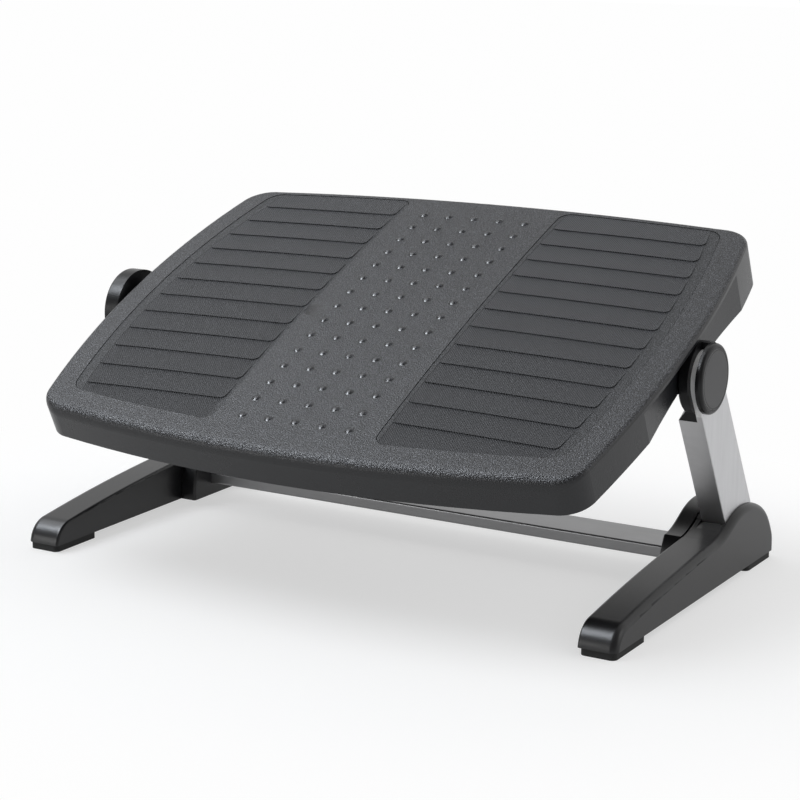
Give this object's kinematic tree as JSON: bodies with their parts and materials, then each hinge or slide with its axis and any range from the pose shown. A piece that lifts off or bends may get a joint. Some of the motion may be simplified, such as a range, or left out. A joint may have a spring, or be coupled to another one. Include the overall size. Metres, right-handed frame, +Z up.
{
  "type": "tilting under desk footrest",
  "caption": "Tilting footrest: crowned deck with stepped grip inlays and a band of round bumps, hung between two leaning arms on long feet joined by a flat crossbar, with turning pivot knobs.",
  "frame": {"origin": "on the floor under the middle of the whole footrest's box", "axes": "+X to the footrest's right, -Y to the low front edge, +Z up"},
  "size_m": [0.489, 0.3096, 0.2381],
  "materials": {
    "black_plastic": "satin",
    "deck_plastic": "fine grained",
    "grip_inlay": "matte",
    "pad_rubber": "matte",
    "arm_aluminium": "satin",
    "bar_metal": "satin",
    "fastener_steel": "satin",
    "bracket_metal": "satin",
    "washer_plastic": "matte",
    "disc_plastic": "satin",
    "plug_plastic": "matte"
  },
  "bodies": {
    "base": {"crossbar": "bar_metal", "crossbar_plugs": "plug_plastic", "crossbar_screws": "fastener_steel", "left_arm": "arm_aluminium", "left_arm_head": "black_plastic", "left_arm_plug": "plug_plastic", "left_foot": "black_plastic", "left_front_rubber_pad": "pad_rubber", "left_hub_cover": "black_plastic", "left_hub_screws": "fastener_steel", "left_rear_rubber_pad": "pad_rubber", "left_tail_screw": "fastener_steel", "right_arm": "arm_aluminium", "right_arm_head": "black_plastic", "right_arm_plug": "plug_plastic", "right_foot": "black_plastic", "right_front_rubber_pad": "pad_rubber", "right_hub_cover": "black_plastic", "right_hub_screws": "fastener_steel", "right_rear_rubber_pad": "pad_rubber", "right_tail_screw": "fastener_steel"},
    "deck": {"deck_shell": "deck_plastic", "left_grip_pad": "grip_inlay", "right_grip_pad": "grip_inlay", "left_pivot_bracket": "bracket_metal", "right_pivot_bracket": "bracket_metal", "left_pivot_nut": "fastener_steel", "right_pivot_nut": "fastener_steel", "bracket_screws": "fastener_steel", "left_friction_washer": "washer_plastic", "right_friction_washer": "washer_plastic"},
    "right_knob": {"right_pivot_cap": "black_plastic", "right_cap_disc": "disc_plastic", "right_pivot_bolt": "fastener_steel", "right_steel_washer": "fastener_steel"},
    "left_knob": {"left_hand_knob": "black_plastic", "left_knob_disc": "disc_plastic", "left_pivot_bolt": "fastener_steel", "left_steel_washer": "fastener_steel", "left_knob_collar": "black_plastic"}
  },
  "joints": [
    {"name": "deck_tilt", "type": "hinge", "parent": "base", "child": "deck", "pos_m": [0.0072, 0.01889, 0.15325], "axis": [1, 0, 0], "range_deg": [-24, 11]},
    {"name": "right_knob_turn", "type": "hinge", "parent": "base", "child": "right_knob", "pos_m": [0.242, 0.01889, 0.15325], "axis": [1, 0, 0], "range_deg": [0, 180]},
    {"name": "left_knob_turn", "type": "hinge", "parent": "base", "child": "left_knob", "pos_m": [-0.237, 0.01889, 0.15325], "axis": [-1, 0, 0], "range_deg": [0, 180]}
  ]
}
